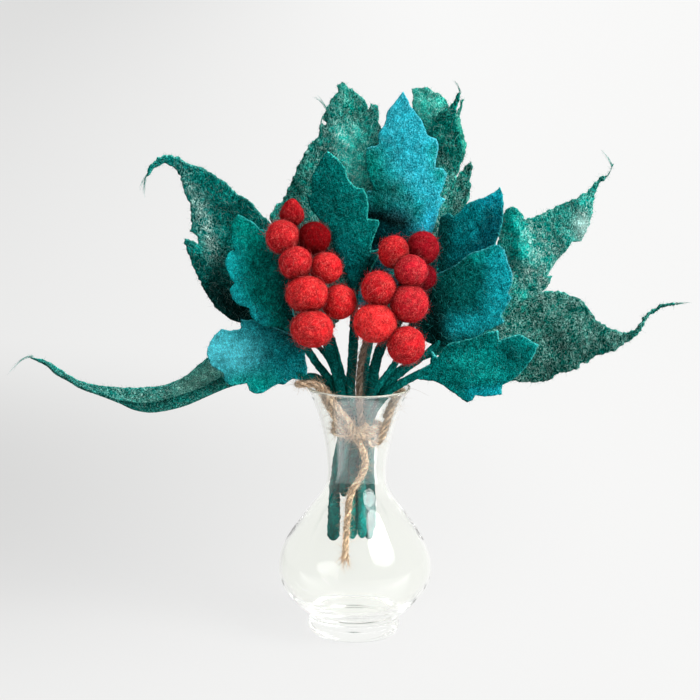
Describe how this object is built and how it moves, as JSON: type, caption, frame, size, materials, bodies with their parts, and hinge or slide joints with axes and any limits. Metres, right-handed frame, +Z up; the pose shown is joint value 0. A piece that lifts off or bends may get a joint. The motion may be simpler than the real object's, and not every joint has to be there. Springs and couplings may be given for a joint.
{
  "type": "felt holly bunch in a glass vase",
  "caption": "Wool-felt holly bunch with toothed teal leaves and scarlet felt berries, tied with jute twine and standing in a clear bulb-shaped glass vase.",
  "frame": {"origin": "centre of the flat face under the vase's foot", "axes": "+Z up, -Y towards the front of the bunch, +X to the right when seen from the front"},
  "size_m": [0.4297, 0.115, 0.3694],
  "materials": {
    "glass": "clear, polished",
    "berry_felt": "matte needle-felted wool",
    "leaf_felt": "matte thick wool felt, dyed teal to sea blue",
    "fine_leaf_felt": "matte wet-felted wool, dark teal with pale fibres",
    "stem_felt": "matte felt-wrapped stems",
    "jute": "hairy twisted jute"
  },
  "bodies": {
    "root": {"vase": "glass", "berries_left": "berry_felt", "berries_right": "berry_felt", "leaf_small_centre": "leaf_felt", "leaf_small_top": "leaf_felt", "leaf_small_right_upper": "leaf_felt", "leaf_small_right_middle": "leaf_felt", "leaf_small_right_lower": "leaf_felt", "leaf_small_left_upper": "leaf_felt", "leaf_small_left_lower": "leaf_felt", "leaf_large_upper_left": "fine_leaf_felt", "leaf_large_top_left": "fine_leaf_felt", "leaf_large_top_right": "fine_leaf_felt", "leaf_large_upper_right": "fine_leaf_felt", "leaf_large_lower_right": "fine_leaf_felt", "leaf_large_lower_left": "fine_leaf_felt", "berry_stem_left": "stem_felt", "berry_stem_right": "stem_felt", "twine_binding": "jute", "twine_loop_left": "jute", "twine_loop_right": "jute", "twine_strand_up": "jute", "twine_tail_down": "jute"}
  },
  "joints": []
}
